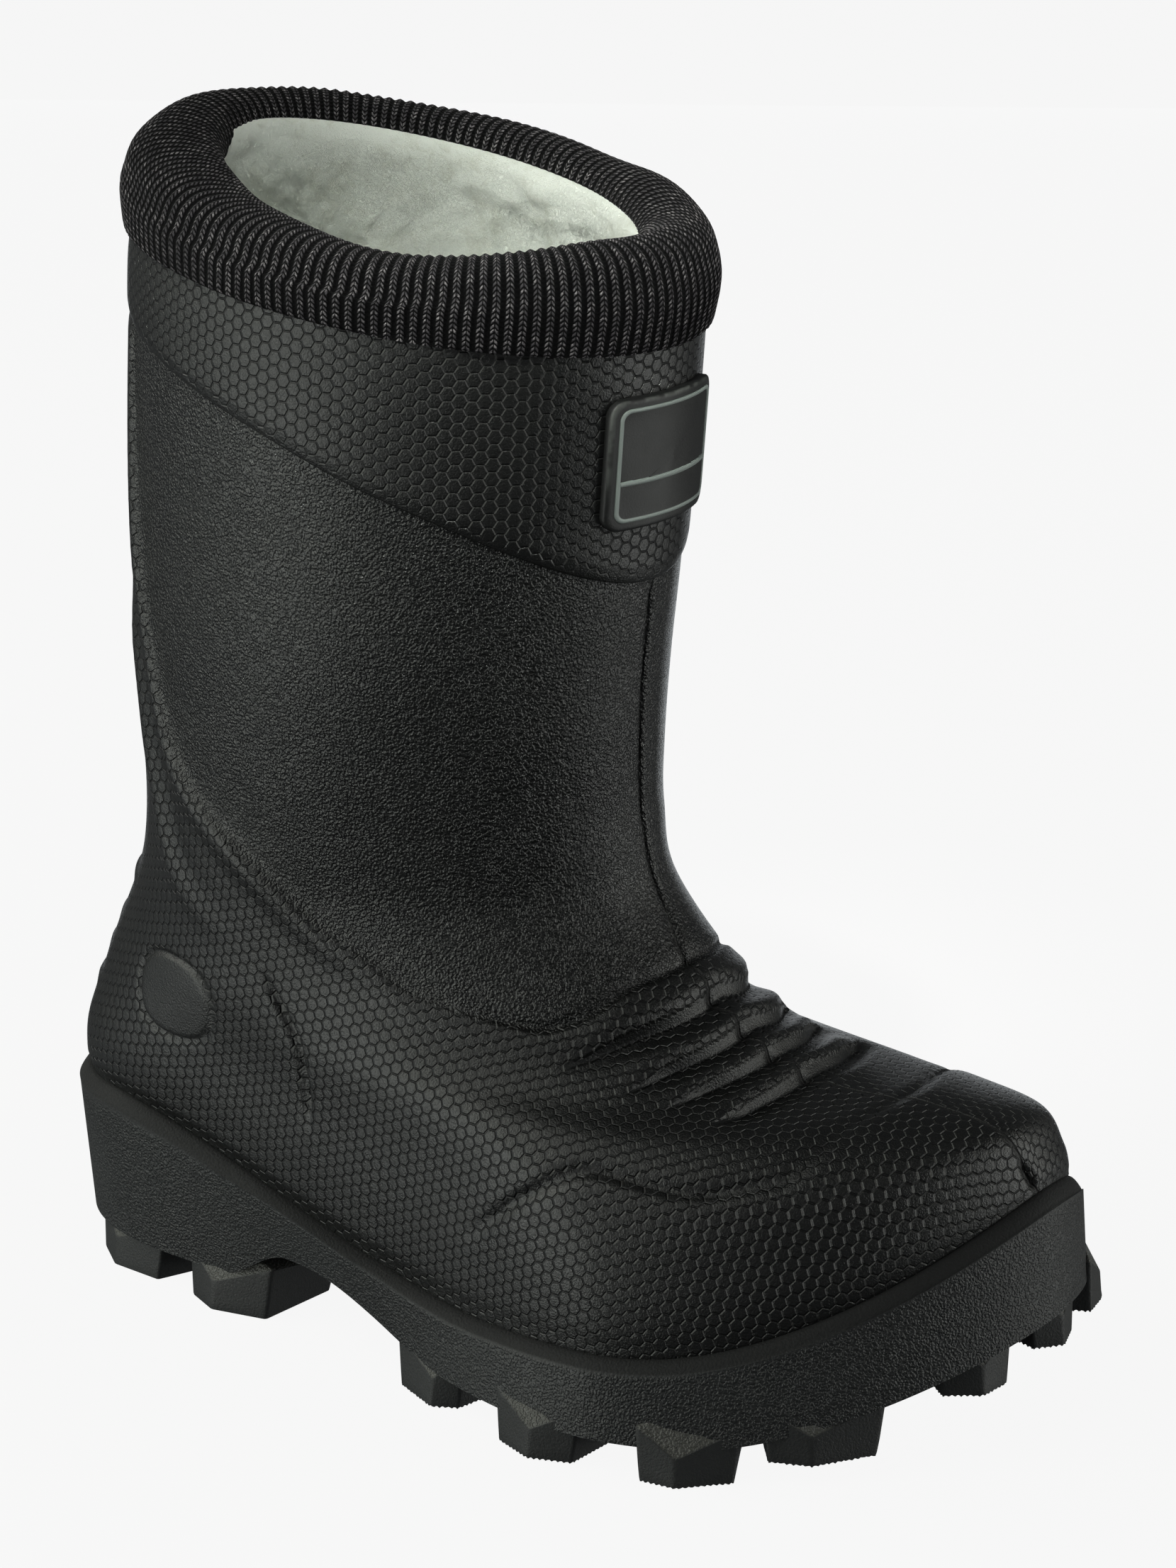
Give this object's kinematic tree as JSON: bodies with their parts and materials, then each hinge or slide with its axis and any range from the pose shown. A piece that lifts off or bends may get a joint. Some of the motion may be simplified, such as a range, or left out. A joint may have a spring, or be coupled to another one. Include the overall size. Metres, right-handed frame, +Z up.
{
  "type": "lined rubber boot",
  "caption": "Calf-high moulded rubber boot with a lugged cup sole, raised hexagon relief, padded rib-knit collar roll and soft pile inside, for wet and cold ground.",
  "frame": {"origin": "on the ground, at the middle of the boot's length and breadth", "axes": "+X to the toe, +Y to the inner side, -Y to the outer side, +Z up to the collar"},
  "size_m": [0.2102, 0.0992, 0.2289],
  "materials": {
    "upper_rubber": "matte, moulded relief",
    "sole_rubber": "matte, grained",
    "rib_knit": "rib knit",
    "pile": "wool pile",
    "badge_rubber": "satin"
  },
  "bodies": {
    "root": {"upper": "upper_rubber", "sole": "sole_rubber", "knit_cuff": "rib_knit", "insole": "pile", "badge": "badge_rubber"}
  },
  "joints": []
}
